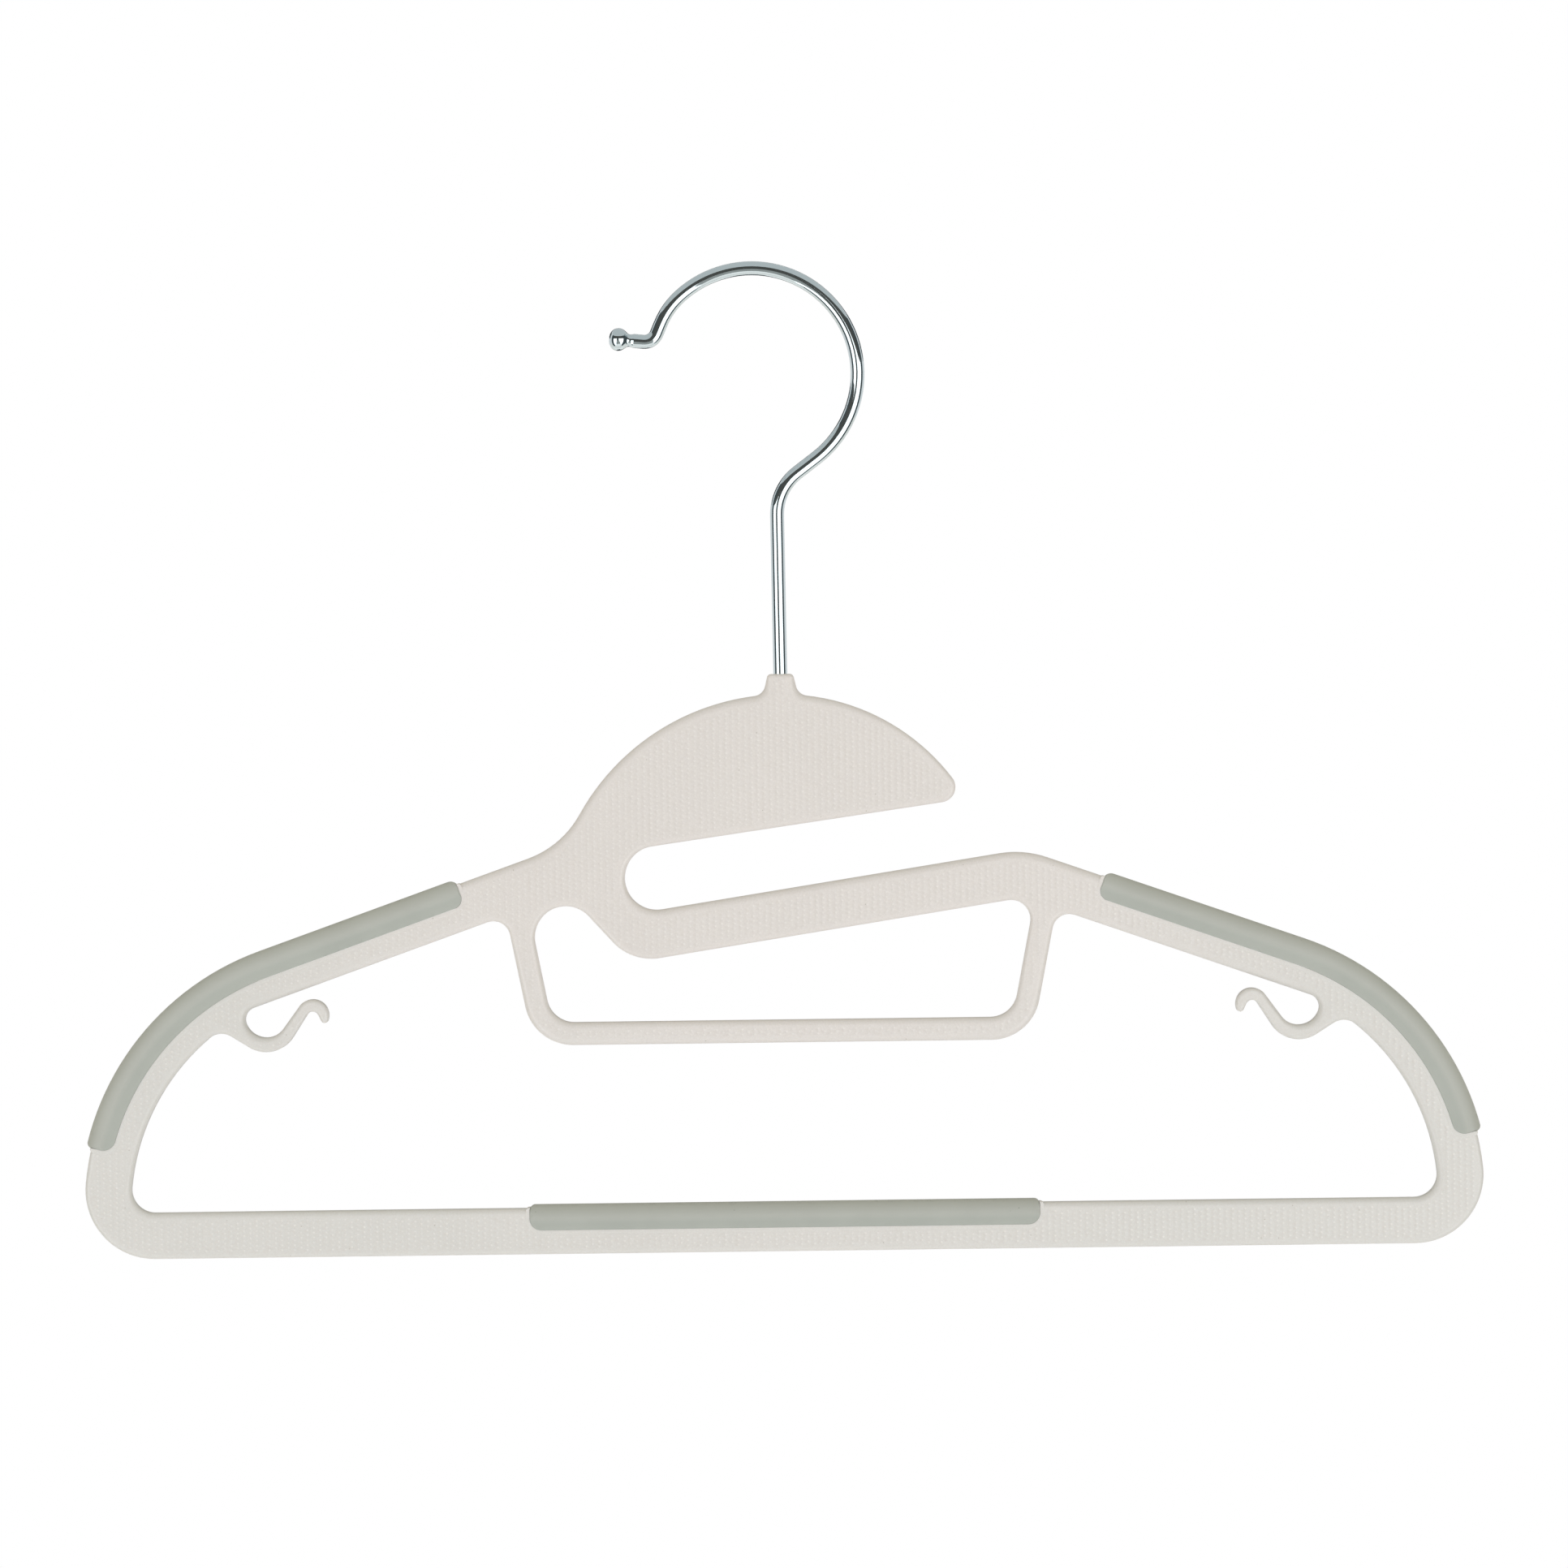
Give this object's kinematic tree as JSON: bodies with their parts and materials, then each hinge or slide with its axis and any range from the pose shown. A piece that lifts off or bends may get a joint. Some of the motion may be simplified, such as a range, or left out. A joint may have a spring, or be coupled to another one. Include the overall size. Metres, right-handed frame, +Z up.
{
  "type": "clothes hanger",
  "caption": "Child's plastic clothes hanger with soft shoulder and bar grips, a tie slot, a scarf loop, strap hooks and a chromed swivel hook.",
  "frame": {"origin": "where a rail touches the underside of the hook, on the swivel axis", "axes": "+X to the hanger's right as seen from the front, +Y from the front to the back, +Z up along the swivel axis"},
  "size_m": [0.32, 0.0066, 0.2267],
  "materials": {
    "frame_plastic": "fine moulded dot texture",
    "grip_rubber": "smooth matt",
    "hook_chrome": "polished"
  },
  "bodies": {
    "hook": {"swivel_hook": "hook_chrome"},
    "hanger": {"hanger_frame": "frame_plastic", "left_shoulder_grip": "grip_rubber", "right_shoulder_grip": "grip_rubber", "trouser_bar_grip": "grip_rubber"}
  },
  "joints": [
    {"name": "hook_swivel", "type": "hinge", "parent": "hook", "child": "hanger", "pos_m": [0, 0, -0.0997], "axis": [0, 0, 1], "continuous": true}
  ]
}
